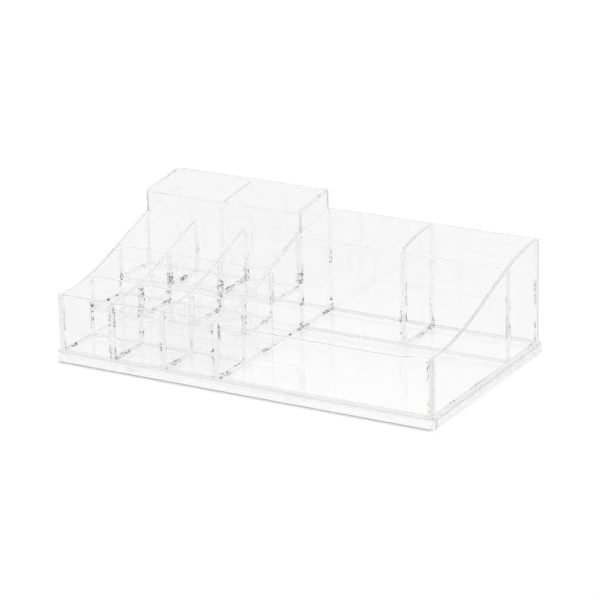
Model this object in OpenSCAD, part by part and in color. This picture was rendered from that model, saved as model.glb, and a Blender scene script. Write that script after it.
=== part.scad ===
// Clear vanity organizer. Polished clear panels stand on a thick base plate and are bonded to it
// and to each other with a thin film of cement. Nine lipstick wells with stepped floors take the
// left front, a two-cell brush cup stands behind them, and an open tray with two bays behind it
// takes the right. The origin is on the underside of the base plate, at its middle; front is -Y.

/* [Base plate] */
// Thickness of the base plate
base_t = 5.8; // [3:0.1:12]
// How far the base plate stands out beyond the walls on every side
base_lip = 2.2; // [0.6:0.1:8]
// Radius of the base plate's four corners, seen from above
base_corner_r = 4; // [2:0.5:12]
// Radius of the polished rounding along the base plate's upper and lower edges
base_edge_r = 1.2; // [0.3:0.1:1.4]

/* [Outer walls] */
// Thickness of the outer walls, the cross partition, the bay divider and the brush cup's collar
wall_t = 2.2; // [1.2:0.1:4]
// Thickness of the inner side wall, between the wells and the tray
inner_wall_t = 3; // [1.2:0.1:4]
// Height of the front wall above the base plate
front_h = 31.3; // [24:0.1:42]
// Height of the back wall above the base plate
back_h = 57; // [46:0.5:80]
// Level stretch at the front of the side walls, before their tops begin to rise
curve_front = 7.6; // [2:0.1:25]
// Level stretch at the back of the side walls, after the rise
curve_back = 2.4; // [1:0.1:25]
// Depth of the finger dip in the front wall, along the tray
dip_depth = 2; // [0.5:0.1:8]
// Length over which each end of the finger dip blends into the level top
dip_blend = 20; // [8:1:40]

/* [Lipstick wells] */
// Clear width of one well
well_w = 29.4; // [20:0.1:45]
// Clear depth of one well, front to back
well_d = 26.8; // [20:0.1:40]
// Thickness of the row partitions and the column dividers
divider_t = 1.8; // [1:0.1:3]
// How far the row partitions and the cross partition stay below the side walls' tops
partition_drop = 0.9; // [0.2:0.1:5]
// Height of the middle row's floor above the base plate
middle_floor_h = 14.6; // [8:0.1:20]
// Height of the rear row's floor above the base plate
rear_floor_h = 23; // [15:0.1:30]
// Thickness of the two stepped floors
step_floor_t = 2; // [1:0.1:3]

/* [Tray and rear bays] */
// Clear width of the tray
tray_w = 120.8; // [70:0.1:200]
// Clear width of the left rear bay
left_bay_w = 59.9; // [30:0.1:90]
// Clear depth of the rear bays and of the space that holds the brush cup
bay_d = 31.6; // [22:0.1:70]

/* [Brush cup] */
// How far the front of the brush cup's rim stands above the back wall's top
cup_front_rise = 6.3; // [3:0.1:50]
// How far the back of the brush cup's rim stands above the back wall's top
cup_back_rise = 10.3; // [3:0.1:60]
// Outer radius of the upright corners of the brush cup's collar
cup_corner_r = 4.6; // [4.4:0.1:12]
// How far the brush cup's divider stays below the rim
cup_divider_drop = 1; // [0.2:0.1:4]

/* [Joints] */
// Thickness of the cement film between bonded panels
bond_t = 0.05; // [0.02:0.01:0.1]
// Clearance on each side of a panel in a halving slot
slot_gap = 0.1; // [0.05:0.05:0.25]

/* [Hidden] */
$fn = 64;
// Straight pieces that stand for each S-curve along a panel's top
curve_steps = 28;
// Overrun of every cut
cut = 1;
clear_body = [0.90, 0.94, 0.96, 0.45];
clear_divider = [0.86, 0.91, 0.95, 0.45];
clear_cup = [0.94, 0.96, 0.98, 0.45];

// Places along X, from the outer face of the left side wall
column_pitch = well_w + divider_t;
left_divider_x = wall_t + well_w;
right_divider_x = left_divider_x + column_pitch;
inner_x = right_divider_x + column_pitch;
tray_x = inner_x + inner_wall_t;
organizer_w = tray_x + tray_w + wall_t;
bay_divider_x = tray_x + left_bay_w;

// Places along Y, from the outer face of the front wall
row_pitch = well_d + divider_t;
front_row_y = wall_t + well_d;
rear_row_y = front_row_y + row_pitch;
cross_y = rear_row_y + row_pitch;
bay_y = cross_y + wall_t;
back_y = bay_y + bay_d;
organizer_d = back_y + wall_t;

// The side walls' tops rise along one S-curve, and the partitions follow it a little lower
function s_curve(t) = t <= 0 ? 0 : t >= 1 ? 1 : (1 - cos(180 * t)) / 2;
function wall_top(y) =
    front_h + (back_h - front_h) * s_curve((y - curve_front) / (organizer_d - curve_front - curve_back));
front_row_h = wall_top(front_row_y) - partition_drop;
rear_row_h = wall_top(rear_row_y) - partition_drop;
cross_h = wall_top(cross_y) - partition_drop;
top_z = back_h + max(cup_front_rise, cup_back_rise) + cut;

// Heights at which crossing panels change over in their halving joints
front_lap_z = (middle_floor_h + front_row_h) / 2;
rear_lap_z = (rear_floor_h + rear_row_h) / 2;
cross_lap_z = cross_h / 2;

// The brush cup fills the corner behind the wells, and its collar stands on the walls round it
cup_d = organizer_d - cross_y;
function rim_z(y) = back_h + cup_front_rise + (cup_back_rise - cup_front_rise) * (y - cross_y) / cup_d;

// Places its children's origin at the walls' outer left front corner, on top of the base plate
module on_base() {
    translate([-organizer_w / 2, -organizer_d / 2, base_t]) children();
}

module rounded_rect(size, r) {
    translate([r, 0]) square([size.x - 2 * r, size.y]);
    translate([0, r]) square([size.x, size.y - 2 * r]);
    for (x = [r, size.x - r], y = [r, size.y - r]) translate([x, y]) circle(r);
}

// A panel that runs front to back: its outline lies in Y and Z, from x to x + thickness
module lengthwise_panel(x, thickness) {
    translate([x, 0, 0]) rotate([90, 0, 90]) linear_extrude(thickness) children();
}

// A panel that runs left to right: its outline lies in X and Z, from y to y + thickness
module crosswise_panel(y, thickness) {
    translate([0, y + thickness, 0]) rotate([90, 0, 0]) linear_extrude(thickness) children();
}

function top_points(y0, y1, lift) = [
    for (i = [0 : curve_steps])
        let (y = y0 + (y1 - y0) * i / curve_steps)
            [y, wall_top(y) + lift]
];

// Outline of the space below the walls' S-curve, between two places along Y
module below_top(y0, y1) {
    polygon(concat([[y1, bond_t], [y0, bond_t]], top_points(y0, y1, 0)));
}

// Outline of the space above the walls' S-curve, raised by lift
module above_top(y0, y1, lift) {
    polygon(concat([[y1, top_z], [y0, top_z]], top_points(y0, y1, lift)));
}

module below_rim(drop) {
    polygon([
        [cross_y, 0], [organizer_d, 0],
        [organizer_d, rim_z(organizer_d) - drop], [cross_y, rim_z(cross_y) - drop]
    ]);
}

// Slot in an outline for a crossing panel that starts at place u and is t thick
module slot(u, t, z0, z1) {
    translate([u - slot_gap, z0]) square([t + 2 * slot_gap, z1 - z0]);
}

// Thick plate with round corners and polished round edges, which carries every panel
module base_plate() {
    plate = [organizer_w + 2 * base_lip, organizer_d + 2 * base_lip];
    color(clear_body) translate([-plate.x / 2, -plate.y / 2, 0]) {
        lengthwise_panel(base_corner_r, plate.x - 2 * base_corner_r)
            rounded_rect([plate.y, base_t], base_edge_r);
        crosswise_panel(base_corner_r, plate.y - 2 * base_corner_r)
            rounded_rect([plate.x, base_t], base_edge_r);
        for (x = [base_corner_r, plate.x - base_corner_r], y = [base_corner_r, plate.y - base_corner_r])
            translate([x, y, 0]) rotate_extrude() intersection() {
                translate([-base_corner_r, 0]) rounded_rect([2 * base_corner_r, base_t], base_edge_r);
                square([base_corner_r, base_t]);
            }
    }
}

// Low front wall, full width, with a shallow finger dip along the tray
module front_wall() {
    dip_end = organizer_w - wall_t;
    dip = [
        for (side = [0, 1], i = [0 : curve_steps])
            let (run = dip_blend * (side == 0 ? i : curve_steps - i) / curve_steps)
                [side == 0 ? tray_x + run : dip_end - run, front_h - dip_depth * s_curve(run / dip_blend)]
    ];
    color(clear_body) on_base() crosswise_panel(0, wall_t)
        polygon(concat(
            [[organizer_w, front_h], [organizer_w, bond_t], [0, bond_t], [0, front_h]],
            dip
        ));
}

module back_wall() {
    color(clear_body) on_base() crosswise_panel(back_y, wall_t)
        translate([0, bond_t]) square([organizer_w, back_h - bond_t]);
}

module left_side_wall() {
    color(clear_body) on_base() lengthwise_panel(0, wall_t) below_top(wall_t + bond_t, back_y - bond_t);
}

module right_side_wall() {
    color(clear_body) on_base() lengthwise_panel(organizer_w - wall_t, wall_t)
        below_top(wall_t + bond_t, back_y - bond_t);
}

// Wall between the wells and the tray. It drops over the cross partition with a slot in its lower half
module inner_side_wall() {
    color(clear_body) on_base() lengthwise_panel(inner_x, inner_wall_t) difference() {
        below_top(wall_t + bond_t, back_y - bond_t);
        slot(cross_y, wall_t, -cut, cross_lap_z);
    }
}

// Partition over the full width behind the wells and the tray, slotted from above for the inner side wall
module cross_partition() {
    color(clear_body) on_base() crosswise_panel(cross_y, wall_t) difference() {
        translate([wall_t + bond_t, bond_t])
            square([organizer_w - 2 * (wall_t + bond_t), cross_h - bond_t]);
        slot(inner_x, inner_wall_t, cross_lap_z - bond_t, cross_h + cut);
    }
}

module rear_bay_divider() {
    color(clear_body) on_base() lengthwise_panel(bay_divider_x, wall_t)
        below_top(bay_y + bond_t, back_y - bond_t);
}

// Partition across the three columns of wells, slotted from above for both column dividers
module row_partition(y, height, lap_z) {
    color(clear_divider) on_base() crosswise_panel(y, divider_t) difference() {
        translate([wall_t + bond_t, bond_t])
            square([inner_x - wall_t - 2 * bond_t, height - bond_t]);
        for (x = [left_divider_x, right_divider_x]) slot(x, divider_t, lap_z - bond_t, height + cut);
    }
}

module front_row_partition() row_partition(front_row_y, front_row_h, front_lap_z);

module rear_row_partition() row_partition(rear_row_y, rear_row_h, rear_lap_z);

// Divider between two columns of wells. Its lower edge is stepped to stand on the base plate and
// on both stepped floors, and it drops over both row partitions
module column_divider(x) {
    color(clear_divider) on_base() lengthwise_panel(x, divider_t) difference() {
        below_top(wall_t + bond_t, cross_y - bond_t);
        translate([front_row_y, 0]) square([cross_y - front_row_y, middle_floor_h + bond_t]);
        translate([rear_row_y, 0]) square([cross_y - rear_row_y, rear_floor_h + bond_t]);
        slot(front_row_y, divider_t, -cut, front_lap_z);
        slot(rear_row_y, divider_t, -cut, rear_lap_z);
    }
}

module left_column_divider() column_divider(left_divider_x);

module right_column_divider() column_divider(right_divider_x);

// Raised floor of one row of wells, bonded between the partitions in front of it and behind it
module step_floor(y, height) {
    color(clear_divider) on_base()
        translate([wall_t + bond_t, y + divider_t + bond_t, height - step_floor_t])
            cube([inner_x - wall_t - 2 * bond_t, well_d - 2 * bond_t, step_floor_t]);
}

module middle_step_floor() step_floor(front_row_y, middle_floor_h);

module rear_step_floor() step_floor(rear_row_y, rear_floor_h);

// Collar of the brush cup: a ring with round corners, bonded onto the S-curved tops of the side walls,
// the top of the back wall and the lower top of the cross partition. Its rim slopes up to the back
module brush_cup_collar() {
    color(clear_cup) on_base() difference() {
        intersection() {
            translate([0, cross_y, 0]) linear_extrude(top_z) rounded_rect([tray_x, cup_d], cup_corner_r);
            lengthwise_panel(0, tray_x) below_rim(0);
            union() {
                lengthwise_panel(0, tray_x) above_top(cross_y, organizer_d, bond_t);
                translate([wall_t + bond_t, cross_y, cross_h + bond_t])
                    cube([inner_x - wall_t - 2 * bond_t, wall_t, top_z]);
            }
        }
        translate([wall_t, bay_y, 0])
            linear_extrude(top_z + cut) rounded_rect([inner_x - wall_t, bay_d], cup_corner_r - wall_t);
    }
}

// Divider that stands on the base plate in the middle of the brush cup, up to just below the rim
module brush_cup_divider() {
    color(clear_cup) on_base() lengthwise_panel((wall_t + inner_x - divider_t) / 2, divider_t)
        intersection() {
            translate([bay_y + bond_t, bond_t]) square([bay_d - 2 * bond_t, top_z]);
            below_rim(cup_divider_drop);
        }
}

base_plate();
front_wall();
back_wall();
left_side_wall();
right_side_wall();
inner_side_wall();
cross_partition();
rear_bay_divider();
front_row_partition();
rear_row_partition();
left_column_divider();
right_column_divider();
middle_step_floor();
rear_step_floor();
brush_cup_collar();
brush_cup_divider();
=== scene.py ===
from math import radians

import bmesh
import bpy
from mathutils import Matrix, Vector


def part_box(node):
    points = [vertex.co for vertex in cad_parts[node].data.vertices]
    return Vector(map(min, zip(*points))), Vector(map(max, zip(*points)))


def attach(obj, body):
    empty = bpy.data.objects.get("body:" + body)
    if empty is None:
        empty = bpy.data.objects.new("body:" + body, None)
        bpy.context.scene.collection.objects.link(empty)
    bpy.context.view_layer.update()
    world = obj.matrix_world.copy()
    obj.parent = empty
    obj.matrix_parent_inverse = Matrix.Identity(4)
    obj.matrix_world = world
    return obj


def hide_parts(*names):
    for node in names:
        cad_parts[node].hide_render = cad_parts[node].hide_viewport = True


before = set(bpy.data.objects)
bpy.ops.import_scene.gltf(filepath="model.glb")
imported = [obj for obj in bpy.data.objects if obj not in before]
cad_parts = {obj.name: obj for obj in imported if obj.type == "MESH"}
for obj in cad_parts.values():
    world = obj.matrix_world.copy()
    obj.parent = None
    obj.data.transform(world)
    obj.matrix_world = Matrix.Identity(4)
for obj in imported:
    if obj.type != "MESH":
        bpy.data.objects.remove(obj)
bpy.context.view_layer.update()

# Camera. A long lens looks at the organizer from the front right, 19 degrees above the table, and
# leans by a degree and a half, as in the photograph.
CAMERA_AZIMUTH = radians(30.078)
CAMERA_ELEVATION = radians(19.397)
CAMERA_ROLL = radians(-1.447)
CAMERA_DISTANCE = 1.5544
CAMERA_AIM = Vector((0.00152, -0.00069, 0.03195))
CAMERA_LENS = 178.64
CAMERA_SIGHT = 50

camera = bpy.data.objects.new("camera", bpy.data.cameras.new("camera"))
camera.data.lens = CAMERA_LENS
camera.data.clip_end = CAMERA_SIGHT
looking = Matrix.Rotation(CAMERA_AZIMUTH, 4, "Z") @ Matrix.Rotation(radians(90) - CAMERA_ELEVATION, 4, "X")
camera.matrix_world = (
    Matrix.Translation(CAMERA_AIM + looking @ Vector((0, 0, CAMERA_DISTANCE)))
    @ looking
    @ Matrix.Rotation(CAMERA_ROLL, 4, "Z")
)
bpy.context.scene.collection.objects.link(camera)
bpy.context.scene.camera = camera

# Studio. A white sweep of paper under the organizer and a white room round it, whose ceiling falls
# off to grey, so that polished edges have something to draw. A wide soft skylight is the only lamp.
FLOOR_GAP = 0.00015
FLOOR_REACH = 8.0
PAPER_WHITE = (0.8, 0.8, 0.8, 1)
PAPER_GLOW = 0.15
BENT_SHARE = 0.34
BACKGROUND_WHITE = 1
WALL_WHITE = 0.93
CEILING_GREY = 0.8
CEILING_RISE = (0.45, 0.95)
SKYLIGHT_WAY = (0.13, 0.3, 0.945)
SKYLIGHT_EDGE = (0.69, 0.83)
SKYLIGHT_LEVEL = 0.6
LIGHT_BOUNCES = 160


def node_of(tree, kind, **values):
    """Adds a shader node and sets its properties, or its inputs where a name has a capital letter."""
    node = tree.nodes.new(kind)
    for name, value in values.items():
        if name[0].isupper():
            node.inputs[name.replace("_", " ")].default_value = value
        else:
            setattr(node, name, value)
    return node


def ramp(tree, reach, values=(0, 1), kind="LINEAR"):
    """Adds a node that maps numbers between the two ends of reach onto those between values."""
    return node_of(
        tree,
        "ShaderNodeMapRange",
        interpolation_type=kind,
        From_Min=reach[0],
        From_Max=reach[1],
        To_Min=values[0],
        To_Max=values[1],
    )


def bent_rays(tree, path):
    """Whether a ray comes by way of a reflection or through the plastic."""
    bent = node_of(tree, "ShaderNodeMath", operation="MAXIMUM")
    tree.links.new(path.outputs["Is Glossy Ray"], bent.inputs[0])
    tree.links.new(path.outputs["Is Transmission Ray"], bent.inputs[1])
    return bent.outputs[0]


def background_rays(tree):
    """How much of the paper's glow a ray shows: all of it to the camera, and a share of it, so that
    the plastic stands out from the paper, in a reflection or through the plastic."""
    path = node_of(tree, "ShaderNodeLightPath")
    bent_share = node_of(tree, "ShaderNodeMath", operation="MULTIPLY")
    bent_share.inputs[1].default_value = BENT_SHARE
    shown = node_of(tree, "ShaderNodeMath", operation="MAXIMUM")
    tree.links.new(bent_rays(tree, path), bent_share.inputs[0])
    tree.links.new(path.outputs["Is Camera Ray"], shown.inputs[0])
    tree.links.new(bent_share.outputs[0], shown.inputs[1])
    return shown.outputs[0]


def lighting_rays(tree):
    """Which rays the skylight reaches: all that light a surface, but none that would show the skylight
    itself in a reflection or through the plastic."""
    path = node_of(tree, "ShaderNodeLightPath")
    shows_light = node_of(tree, "ShaderNodeMath", operation="SUBTRACT", use_clamp=True)
    let_through = node_of(tree, "ShaderNodeMath", operation="SUBTRACT")
    let_through.inputs[0].default_value = 1
    tree.links.new(bent_rays(tree, path), shows_light.inputs[0])
    tree.links.new(path.outputs["Diffuse Depth"], shows_light.inputs[1])
    tree.links.new(shows_light.outputs[0], let_through.inputs[1])
    return let_through.outputs[0]


paper = bpy.data.materials.new("white paper")
paper.use_nodes = True
tree = paper.node_tree
tree.nodes.clear()
surface = node_of(tree, "ShaderNodeBsdfDiffuse", Color=PAPER_WHITE)
glow = node_of(tree, "ShaderNodeEmission")
glow_level = node_of(tree, "ShaderNodeMath", operation="MULTIPLY")
glow_level.inputs[1].default_value = PAPER_GLOW
sum_of_both = node_of(tree, "ShaderNodeAddShader")
output = node_of(tree, "ShaderNodeOutputMaterial")
tree.links.new(background_rays(tree), glow_level.inputs[0])
tree.links.new(glow_level.outputs[0], glow.inputs["Strength"])
tree.links.new(surface.outputs[0], sum_of_both.inputs[0])
tree.links.new(glow.outputs[0], sum_of_both.inputs[1])
tree.links.new(sum_of_both.outputs[0], output.inputs["Surface"])

sweep = bmesh.new()
bmesh.ops.create_grid(sweep, x_segments=1, y_segments=1, size=FLOOR_REACH)
bmesh.ops.translate(sweep, verts=sweep.verts, vec=(0, 0, -FLOOR_GAP))
floor_mesh = bpy.data.meshes.new("floor")
sweep.to_mesh(floor_mesh)
sweep.free()
floor_mesh.materials.append(paper)
floor = bpy.data.objects.new("floor", floor_mesh)
bpy.context.scene.collection.objects.link(floor)

room = bpy.data.worlds.new("studio")
bpy.context.scene.world = room
room.use_nodes = True
tree = room.node_tree
tree.nodes.clear()
direction = node_of(tree, "ShaderNodeTexCoord")
height = node_of(tree, "ShaderNodeSeparateXYZ")
ceiling = ramp(tree, CEILING_RISE, (WALL_WHITE, CEILING_GREY), kind="SMOOTHSTEP")
toward_skylight = node_of(tree, "ShaderNodeVectorMath", operation="DOT_PRODUCT")
toward_skylight.inputs[1].default_value = SKYLIGHT_WAY
skylight = ramp(tree, SKYLIGHT_EDGE, (0, SKYLIGHT_LEVEL), kind="SMOOTHSTEP")
ceiling_and_skylight = node_of(tree, "ShaderNodeMath", operation="MULTIPLY_ADD")
path = node_of(tree, "ShaderNodeLightPath")
level = node_of(tree, "ShaderNodeMix", B=BACKGROUND_WHITE)
sky = node_of(tree, "ShaderNodeBackground", Color=(1, 1, 1, 1))
output = node_of(tree, "ShaderNodeOutputWorld")
tree.links.new(direction.outputs["Generated"], height.inputs[0])
tree.links.new(height.outputs["Z"], ceiling.inputs["Value"])
tree.links.new(direction.outputs["Generated"], toward_skylight.inputs[0])
tree.links.new(toward_skylight.outputs["Value"], skylight.inputs["Value"])
tree.links.new(skylight.outputs["Result"], ceiling_and_skylight.inputs[0])
tree.links.new(lighting_rays(tree), ceiling_and_skylight.inputs[1])
tree.links.new(ceiling.outputs["Result"], ceiling_and_skylight.inputs[2])
tree.links.new(path.outputs["Is Camera Ray"], level.inputs["Factor"])
tree.links.new(ceiling_and_skylight.outputs[0], level.inputs["A"])
tree.links.new(level.outputs["Result"], sky.inputs["Strength"])
tree.links.new(sky.outputs[0], output.inputs["Surface"])

bpy.context.scene.view_settings.view_transform = "Standard"
bpy.context.scene.cycles.max_bounces = LIGHT_BOUNCES
bpy.context.scene.cycles.transmission_bounces = LIGHT_BOUNCES
bpy.context.scene.cycles.glossy_bounces = LIGHT_BOUNCES
bpy.context.scene.cycles.transparent_max_bounces = LIGHT_BOUNCES
bpy.context.scene.cycles.blur_glossy = 0

# Base plate. A thick plate of clear acrylic with round corners and a painted shadow, a dark strip along
# the foot of its front face. The other panels are cemented to it, and it lies flat on the table.
MERGE = 1e-6
LEVEL_WITHIN = radians(0.5)
EDGE_OVER = radians(30)
ARRIS_STEPS = 3
ACRYLIC_IOR = 1.49
SHADE_PASSED = (0.82, 0.82, 0.82, 1)
COLOURLESS = (0.87, 0.87, 0.87, 1)
WIPE_SCALE = (40, 160, 900)
WIPE_TURN = (0.3, 0.2, 0.5)
WIPE_REACH = (0.5, 0.8)
CLOUDS_TO_RIPPLE = 1.6
# Painted shadow along the foot of the plate's front: how high and how deep the dark strip reaches, and the
# share its faces pass.
EDGE_SHADOW_HEIGHT = 0.0008
EDGE_SHADOW_DEPTH = 0.0011
EDGE_SHADOW_PASSES = 0.15


def clear_acrylic(name, ripple_size, ripple_depth, density, haze=0.03, passed=(0.99, 1.0)):
    """Clear acrylic with a slow ripple in its polish and faint wipe marks in its gloss. Its faces pass
    a share of the light that a cloud pattern varies between the two values in passed."""
    finish = bpy.data.materials.new(name)
    finish.use_nodes = True
    tree = finish.node_tree
    tree.nodes.clear()
    place = node_of(tree, "ShaderNodeTexCoord")

    ripple = node_of(tree, "ShaderNodeTexNoise", Scale=1 / ripple_size, Detail=1.5, Roughness=0.4)
    relief = node_of(tree, "ShaderNodeBump", Strength=1.0, Distance=ripple_depth)
    tree.links.new(place.outputs["Object"], ripple.inputs["Vector"])
    tree.links.new(ripple.outputs["Fac"], relief.inputs["Height"])

    wipe_way = node_of(tree, "ShaderNodeMapping", Scale=WIPE_SCALE, Rotation=WIPE_TURN)
    wipes = node_of(tree, "ShaderNodeTexNoise", Scale=1.0, Detail=4, Roughness=0.6)
    gloss = ramp(tree, WIPE_REACH, (0, haze))
    tree.links.new(place.outputs["Object"], wipe_way.inputs["Vector"])
    tree.links.new(wipe_way.outputs[0], wipes.inputs["Vector"])
    tree.links.new(wipes.outputs["Fac"], gloss.inputs["Value"])

    cloud_size = CLOUDS_TO_RIPPLE * ripple_size
    clouds = node_of(tree, "ShaderNodeTexNoise", Scale=1 / cloud_size, Detail=3, Roughness=0.55)
    film = ramp(tree, (0, 1), passed)
    tree.links.new(place.outputs["Object"], clouds.inputs["Vector"])
    tree.links.new(clouds.outputs["Fac"], film.inputs["Value"])

    plastic = node_of(tree, "ShaderNodeBsdfPrincipled", IOR=ACRYLIC_IOR, Transmission_Weight=1.0)
    tree.links.new(film.outputs["Result"], plastic.inputs["Base Color"])
    tree.links.new(gloss.outputs["Result"], plastic.inputs["Roughness"])
    tree.links.new(relief.outputs[0], plastic.inputs["Normal"])

    path = node_of(tree, "ShaderNodeLightPath")
    open_shade = node_of(tree, "ShaderNodeBsdfTransparent", Color=SHADE_PASSED)
    seen = node_of(tree, "ShaderNodeMixShader")
    body = node_of(tree, "ShaderNodeVolumeAbsorption", Color=COLOURLESS, Density=density)
    output = node_of(tree, "ShaderNodeOutputMaterial")
    tree.links.new(path.outputs["Is Shadow Ray"], seen.inputs[0])
    tree.links.new(plastic.outputs[0], seen.inputs[1])
    tree.links.new(open_shade.outputs[0], seen.inputs[2])
    tree.links.new(seen.outputs[0], output.inputs["Surface"])
    tree.links.new(body.outputs[0], output.inputs["Volume"])
    return finish


def dim_film(finish, share):
    """Lets the faces of a clear acrylic pass only a share, read from a socket, of what they passed."""
    tree = finish.node_tree
    plastic = next(node for node in tree.nodes if node.type == "BSDF_PRINCIPLED")
    film = plastic.inputs["Base Color"].links[0].from_socket
    dimmed = node_of(tree, "ShaderNodeMath", operation="MULTIPLY")
    tree.links.new(film, dimmed.inputs[0])
    tree.links.new(share, dimmed.inputs[1])
    tree.links.new(dimmed.outputs[0], plastic.inputs["Base Color"])


def paint_front_edge_shadow(finish, front_y):
    """Paints a shadow, a dark strip of painted shade, along the lower edge of the plate's front, which is
    at front_y.
    """
    tree = finish.node_tree
    place = node_of(tree, "ShaderNodeTexCoord")
    apart = node_of(tree, "ShaderNodeSeparateXYZ")
    low_down = node_of(tree, "ShaderNodeMath", operation="LESS_THAN")
    low_down.inputs[1].default_value = EDGE_SHADOW_HEIGHT
    in_front = node_of(tree, "ShaderNodeMath", operation="LESS_THAN")
    in_front.inputs[1].default_value = front_y + EDGE_SHADOW_DEPTH
    edge_shadow_mask = node_of(tree, "ShaderNodeMath", operation="MULTIPLY")
    edge_shadow = ramp(tree, (0, 1), (1, EDGE_SHADOW_PASSES))
    tree.links.new(place.outputs["Object"], apart.inputs[0])
    tree.links.new(apart.outputs["Z"], low_down.inputs[0])
    tree.links.new(apart.outputs["Y"], in_front.inputs[0])
    tree.links.new(low_down.outputs[0], edge_shadow_mask.inputs[0])
    tree.links.new(in_front.outputs[0], edge_shadow_mask.inputs[1])
    tree.links.new(edge_shadow_mask.outputs[0], edge_shadow.inputs["Value"])
    dim_film(finish, edge_shadow.outputs["Result"])


def polished(node_name, finish, arris=0.0):
    """Puts a merged copy of one solid of the frame in its place, with its sharp edges eased by arris."""
    bm = bmesh.new()
    bm.from_mesh(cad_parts[node_name].data)
    bmesh.ops.remove_doubles(bm, verts=bm.verts, dist=MERGE)
    bmesh.ops.dissolve_limit(bm, angle_limit=LEVEL_WITHIN, verts=bm.verts, edges=bm.edges)
    for face in bm.faces:
        face.smooth = True
    mesh = bpy.data.meshes.new(f"polished_{node_name}")
    bm.to_mesh(mesh)
    bm.free()
    mesh.materials.append(finish)
    piece = bpy.data.objects.new(f"polished_{node_name}", mesh)
    bpy.context.scene.collection.objects.link(piece)
    if arris:
        eased = piece.modifiers.new("eased edges", "BEVEL")
        eased.width = arris
        eased.segments = ARRIS_STEPS
        eased.limit_method = "ANGLE"
        eased.angle_limit = EDGE_OVER
        eased.material = -1
        eased.harden_normals = True
    flat = piece.modifiers.new("flat faces", "WEIGHTED_NORMAL")
    flat.keep_sharp = True
    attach(piece, "root")
    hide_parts(node_name)


thick_plate = clear_acrylic("clear acrylic plate", ripple_size=0.03, ripple_depth=2e-5, density=0.5)
# Painted shadow: a dark strip along the foot of the plate's front face.
paint_front_edge_shadow(thick_plate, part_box("base_plate")[0][1])
polished("base_plate", thick_plate)

# Walls. Panels of 2 mm clear sheet, 3 mm for the inner side wall, cut, with their edges polished,
# and cemented upright. Two of them are cut from a sheet that looks a little greyer along its edges.
WALLS = ("front_wall", "back_wall", "left_side_wall", "inner_side_wall", "cross_partition")
GREYER_WALLS = ("right_side_wall", "rear_bay_divider")
WALL_ARRIS = 0.0005
wall_sheet = clear_acrylic("clear acrylic sheet", ripple_size=0.02, ripple_depth=1.5e-5, density=2.5)
greyer_sheet = clear_acrylic("greyer acrylic sheet", ripple_size=0.02, ripple_depth=1.5e-5, density=7)
for wall in WALLS:
    polished(wall, wall_sheet, WALL_ARRIS)
for wall in GREYER_WALLS:
    polished(wall, greyer_sheet, WALL_ARRIS)

# Well dividers and stepped floors. Panels of a thinner clear sheet: the dividers are halved together
# where they cross, and the two floors raise the middle and the rear row of wells.
DIVIDERS = (
    "front_row_partition",
    "rear_row_partition",
    "left_column_divider",
    "right_column_divider",
    "middle_step_floor",
    "rear_step_floor",
)
DIVIDER_ARRIS = 0.0004
divider_sheet = clear_acrylic(
    "thin clear acrylic sheet", ripple_size=0.02, ripple_depth=1.5e-5, density=4
)
for divider in DIVIDERS:
    polished(divider, divider_sheet, DIVIDER_ARRIS)

# Brush cup. A moulded collar with round corners, cemented onto the tops of the walls round it, and
# the divider of thin sheet that makes two cells of the cup.
CUP_ARRIS = 0.0007
CUP_DIVIDER_ARRIS = 0.0003
cup_moulding = clear_acrylic("clear moulded acrylic", ripple_size=0.025, ripple_depth=2e-5, density=12)
polished("brush_cup_collar", cup_moulding, CUP_ARRIS)
polished("brush_cup_divider", divider_sheet, CUP_DIVIDER_ARRIS)

# Cement beads. The cement that welds the panels creeps out of the joints and sets as clear beads with
# a hollow face, in the upright corners and along the floor of the wells, the tray and the rear bays,
# and round the foot of the outer walls. Dark specks painted in patches low down on them are painted
# reflections.
BEAD_RADIUS = 0.0013
SKIRT_RADIUS = 0.001
BEAD_GAP = 0.00005
BEAD_STEPS = 6
BEAD_DROP = 0.002
X, Y, Z = Vector((1, 0, 0)), Vector((0, 1, 0)), Vector((0, 0, 1))
CEMENT_RIPPLE = 0.0014
CEMENT_DENSITY = 6.5
CEMENT_HAZE = 0.05
# Painted reflections: the size, spread, edge and darkness of the dark specks on the cement, and the height
# where they fade out.
SPECK_PITCH = 0.0014
SPECK_SCATTER = 0.75
SPECK_EDGE = (0.3, 0.36)
SPECK_PASSES = 0.0
PATCH_SIZE = 0.009
PATCH_EDGE = (0.5, 0.52)
SPECKS_FADE = (0.036, 0.046)


def cement(name, ripple_depth, passed):
    """Clear set cement, rippled from drying."""
    return clear_acrylic(name, CEMENT_RIPPLE, ripple_depth, CEMENT_DENSITY, CEMENT_HAZE, passed)


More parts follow.
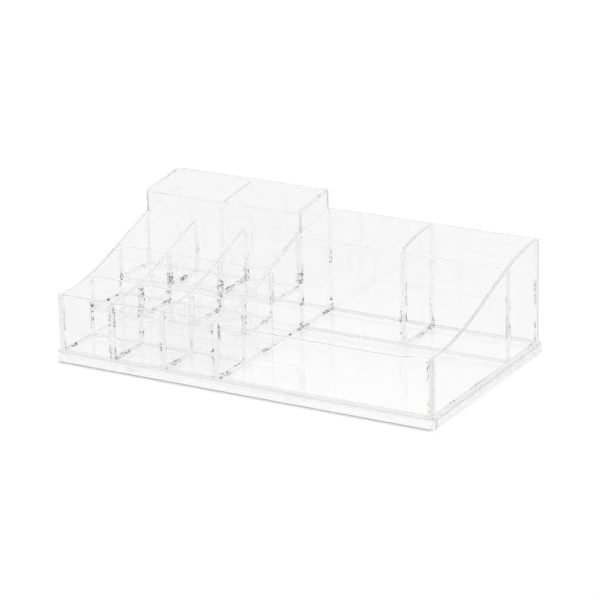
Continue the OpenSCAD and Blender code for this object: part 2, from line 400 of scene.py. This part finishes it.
def paint_dark_reflection_specks(finish, drawn_out):
    """Paints dark specks, painted reflections, on a cement in patches in its lower part, as many times
    longer in X, Y and Z as drawn_out says."""
    tree = finish.node_tree
    place = node_of(tree, "ShaderNodeTexCoord")
    speck_sizes = [1 / (SPECK_PITCH * times) for times in drawn_out]
    way = node_of(tree, "ShaderNodeMapping", Scale=speck_sizes)
    speck_cells = node_of(tree, "ShaderNodeTexVoronoi", Scale=1, Randomness=SPECK_SCATTER)
    speck = ramp(tree, SPECK_EDGE, (SPECK_PASSES, 1))
    patches = node_of(tree, "ShaderNodeTexNoise", Scale=1 / PATCH_SIZE, Detail=1)
    inside = ramp(tree, PATCH_EDGE)
    apart = node_of(tree, "ShaderNodeSeparateXYZ")
    lower = ramp(tree, SPECKS_FADE, (1, 0))
    here = node_of(tree, "ShaderNodeMath", operation="MULTIPLY")
    kept = node_of(tree, "ShaderNodeMix", A=1)
    tree.links.new(place.outputs["Object"], way.inputs["Vector"])
    tree.links.new(way.outputs[0], speck_cells.inputs["Vector"])
    tree.links.new(speck_cells.outputs["Distance"], speck.inputs["Value"])
    tree.links.new(place.outputs["Object"], patches.inputs["Vector"])
    tree.links.new(patches.outputs["Fac"], inside.inputs["Value"])
    tree.links.new(place.outputs["Object"], apart.inputs[0])
    tree.links.new(apart.outputs["Z"], lower.inputs["Value"])
    tree.links.new(inside.outputs["Result"], here.inputs[0])
    tree.links.new(lower.outputs["Result"], here.inputs[1])
    tree.links.new(here.outputs[0], kept.inputs["Factor"])
    tree.links.new(speck.outputs["Result"], kept.inputs["B"])
    dim_film(finish, kept.outputs["Result"])


plain_cement = cement("clear cement", ripple_depth=6e-6, passed=(0.9, 1.0))
upright_cement = cement("clear cement, upright", ripple_depth=2.5e-5, passed=(0.95, 1.0))
# Painted reflections: dark specks on the upright beads.
paint_dark_reflection_specks(upright_cement, drawn_out=(0.8, 0.8, 1.0))
level_cement = cement("clear cement, along the floor", ripple_depth=2e-5, passed=(0.92, 1.0))
# Painted reflections: dark specks on the beads along the floor.
paint_dark_reflection_specks(level_cement, drawn_out=(1, 2.2, 1))


def low(node_name, axis):
    """The lowest coordinate of a solid of the frame on an axis."""
    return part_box(node_name)[0][axis]


def high(node_name, axis):
    """The highest coordinate of a solid of the frame on an axis."""
    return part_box(node_name)[1][axis]


def lay_bead(bm, corner, one_leg, other_leg, run):
    """Adds a bead whose corner line starts at corner and goes along run, with its two flat sides
    along the legs and a hollow face between them."""
    corner = corner + BEAD_GAP * (one_leg.normalized() + other_leg.normalized())
    toe = bm.verts.new(corner + one_leg)
    spun = bmesh.ops.spin(
        bm,
        geom=[toe],
        cent=corner + one_leg + other_leg,
        axis=other_leg.cross(one_leg).normalized(),
        dvec=(0, 0, 0),
        angle=radians(90),
        steps=BEAD_STEPS,
        use_merge=False,
    )
    far_toe = spun["geom_last"][0]
    heel = bm.verts.new(corner)
    hollow = [edge for edge in bm.edges if not edge.link_faces]
    sides = [bm.edges.new((far_toe, heel)), bm.edges.new((heel, toe))]
    section = bmesh.ops.contextual_create(bm, geom=hollow + sides)["faces"]
    grown = bmesh.ops.extrude_face_region(bm, geom=section)["geom"]
    far_end = [item for item in grown if isinstance(item, bmesh.types.BMVert)]
    bmesh.ops.translate(bm, verts=far_end, vec=run)


def set_beads(name, bm, finish):
    """Makes the piece of the beads in bm, of one cement."""
    bmesh.ops.recalc_face_normals(bm, faces=bm.faces)
    mesh = bpy.data.meshes.new(name)
    bm.to_mesh(mesh)
    bm.free()
    mesh.materials.append(finish)
    piece = bpy.data.objects.new(name, mesh)
    bpy.context.scene.collection.objects.link(piece)
    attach(piece, "root")


def bead_box(name, left, right, front, back, floor, front_top, back_top):
    """Lays the beads in the corners of one box-shaped space: four upright and four along its floor."""
    uprights, levels, crossways = bmesh.new(), bmesh.new(), bmesh.new()
    r = BEAD_RADIUS
    for x, inward in ((left, X), (right, -X)):
        for y, backward, top in ((front, Y, front_top), (back, -Y, back_top)):
            foot = Vector((x, y, floor))
            lay_bead(uprights, foot, r * inward, r * backward, (top - BEAD_DROP - floor) * Z)
        start = Vector((x, front + r, floor))
        lay_bead(levels, start, r * inward, r * Z, (back - front - 2 * r) * Y)
    for y, backward in ((front, Y), (back, -Y)):
        start = Vector((left + r, y, floor))
        lay_bead(crossways, start, r * backward, r * Z, (right - left - 2 * r) * X)
    set_beads(f"upright_beads_{name}", uprights, upright_cement)
    set_beads(f"floor_beads_{name}", levels, level_cement)
    set_beads(f"cross_beads_{name}", crossways, plain_cement)


COLUMNS = {
    "left": (high("left_side_wall", 0), low("left_column_divider", 0)),
    "centre": (high("left_column_divider", 0), low("right_column_divider", 0)),
    "right": (high("right_column_divider", 0), low("inner_side_wall", 0)),
}
ROWS = {
    "front": ("front_wall", "front_row_partition", "base_plate"),
    "middle": ("front_row_partition", "rear_row_partition", "middle_step_floor"),
    "rear": ("rear_row_partition", "cross_partition", "rear_step_floor"),
}
for row, (before, behind, floor_node) in ROWS.items():
    for column, (left, right) in COLUMNS.items():
        bead_box(
            f"{row}_{column}_well",
            left,
            right,
            high(before, 1),
            low(behind, 1),
            high(floor_node, 2),
            high(before, 2),
            high(behind, 2),
        )

BAYS = {
    "left_bay": ("inner_side_wall", "rear_bay_divider"),
    "right_bay": ("rear_bay_divider", "right_side_wall"),
}
plate_top = high("base_plate", 2)
for bay, (left_node, right_node) in BAYS.items():
    bead_box(
        bay,
        high(left_node, 0),
        low(right_node, 0),
        high("cross_partition", 1),
        low("back_wall", 1),
        plate_top,
        high("cross_partition", 2),
        high("back_wall", 2),
    )
bead_box(
    "tray",
    high("inner_side_wall", 0),
    low("right_side_wall", 0),
    high("front_wall", 1),
    low("cross_partition", 1),
    plate_top,
    high("front_wall", 2),
    high("cross_partition", 2),
)

skirt = bmesh.new()
foot_left, foot_right = low("left_side_wall", 0), high("right_side_wall", 0)
foot_front, foot_back = low("front_wall", 1), high("back_wall", 1)
for x, outward in ((foot_left, -X), (foot_right, X)):
    start = Vector((x, foot_front, plate_top))
    lay_bead(skirt, start, SKIRT_RADIUS * outward, SKIRT_RADIUS * Z, (foot_back - foot_front) * Y)
for y, outward in ((foot_front, -Y), (foot_back, Y)):
    start = Vector((foot_left, y, plate_top))
    lay_bead(skirt, start, SKIRT_RADIUS * outward, SKIRT_RADIUS * Z, (foot_right - foot_left) * X)
set_beads("skirt_beads", skirt, plain_cement)
